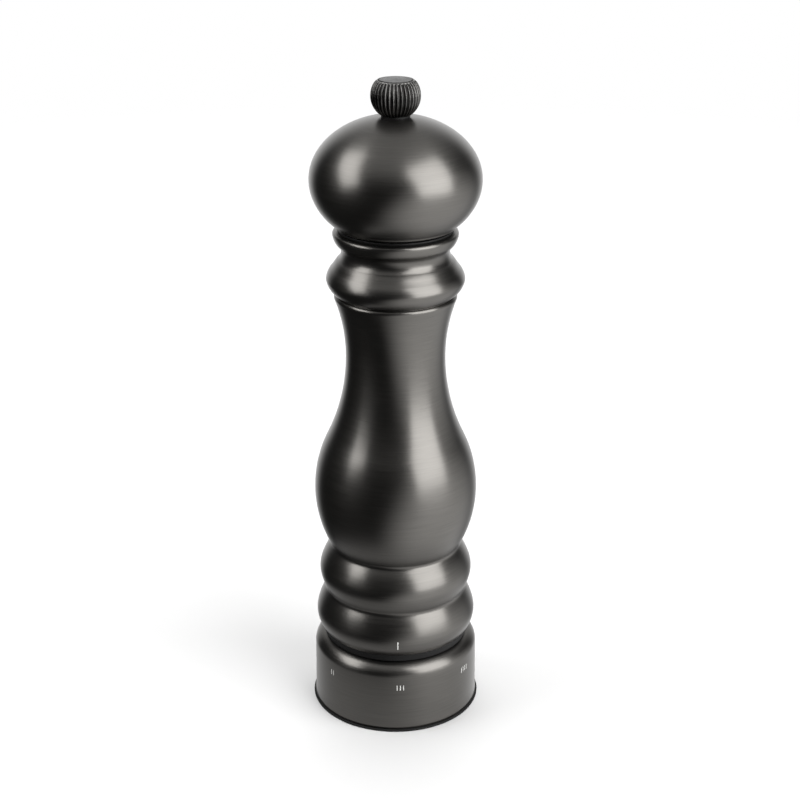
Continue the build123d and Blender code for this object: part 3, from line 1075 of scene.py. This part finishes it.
backdropMaterial, graph = newMaterial("whiteBackdrop")
white = graph.add("ShaderNodeEmission", sockets={"Strength": 1.0})
graph.add("ShaderNodeOutputMaterial", sockets={"Surface": white})
backdrop = staged("backdrop", domeMesh(studio["backdropRadius"]), backdropMaterial)
backdrop.visible_glossy = False
backdrop.visible_diffuse = False
backdrop.visible_shadow = False

poolMaterial, graph = newMaterial("poolOfLight")
place = graph.add("ShaderNodeTexCoord", out="Object")
edge = fromAxis(graph, place, studio["glowFull"], studio["glowRadius"])
clear = graph.add("ShaderNodeBsdfTransparent")
across = graph.add(
    "ShaderNodeVectorMath", {"operation": "DOT_PRODUCT"}, {0: place, 1: (1, 0, 0)}, out="Value"
)
turnsFrom, turnsTo = studio["glowTurns"]
strength = graph.add(
    "ShaderNodeMapRange", {"interpolation_type": "SMOOTHSTEP"},
    {"Value": across, "From Min": turnsFrom, "From Max": turnsTo,
     "To Min": studio["glowLeft"], "To Max": studio["glowRight"]},
)
bright = graph.add("ShaderNodeEmission", sockets={"Strength": strength})
graph.add(
    "ShaderNodeOutputMaterial",
    sockets={"Surface": graph.add("ShaderNodeMixShader", sockets={0: edge, 1: clear, 2: bright})},
)
corners = studio["glowCorners"]
rim = arc((0, 0), studio["glowRadius"], 0, 360 - 360 / corners, corners - 1)
pool = staged(
    "poolOfLight",
    flatMesh("poolOfLight", [(x, y, studio["glowBelow"]) for x, y in rim]),
    poolMaterial,
)
pool.visible_camera = False
pool.visible_diffuse = False
pool.visible_shadow = False

# a room that is white behind the mill, glows low on its right and is dark elsewhere
room = {
    "dark": 0.035,
    "behind": 1.15,
    "behindFrom": 0.6,
    "behindTo": 0.92,
    "glow": 1.9,
    "glowWay": (0.742, -0.347, -0.574),
    "glowFrom": 0.28,
    "glowTo": 1.0,
    "overhead": 0.8,
    "overheadFrom": 0.35,
    "overheadTo": 0.95,
}
world = bpy.data.worlds.new("room")
bpy.context.scene.world = world
world.use_nodes = True
world.node_tree.nodes.clear()
graph = Graph(world.node_tree)
way = graph.add("ShaderNodeTexCoord", out="Generated")


def towards(aim, low, high, strength):
    facing = graph.add(
        "ShaderNodeVectorMath", {"operation": "DOT_PRODUCT"}, {0: way, 1: aim}, out="Value"
    )
    return graph.add(
        "ShaderNodeMapRange", {"interpolation_type": "SMOOTHSTEP"},
        {"Value": facing, "From Min": low, "From Max": high, "To Max": strength},
    )


def roomTone(s):
    return (
        towards((0, 1, 0), s["behindFrom"], s["behindTo"], s["behind"])
        + towards(s["glowWay"], s["glowFrom"], s["glowTo"], s["glow"])
        + towards((0, 0, 1), s["overheadFrom"], s["overheadTo"], s["overhead"])
        + s["dark"]
    )


white = graph.add(
    "ShaderNodeVectorMath", {"operation": "SCALE"}, {0: (1, 1, 1), "Scale": roomTone(room)}
)
background = graph.add("ShaderNodeBackground", sockets={"Color": white, "Strength": 1.0})
graph.add("ShaderNodeOutputWorld", sockets={"Surface": background})

view = {
    "place": (0.0, -0.52507, 0.32683),
    "pitch": 22.263,
    "lens": 76.035,
    "sensor": 36.0,
    "shift": 0.0055,
}
lens = bpy.data.cameras.new("camera")
lens.lens = view["lens"]
lens.sensor_width = view["sensor"]
lens.shift_x = view["shift"]
lens.clip_start = 0.01
camera = linked("camera", lens)
camera.location = view["place"]
camera.rotation_euler = (math.radians(90 - view["pitch"]), 0, 0)
bpy.context.scene.camera = camera
bpy.context.scene.view_settings.view_transform = "Standard"
print("studio set")
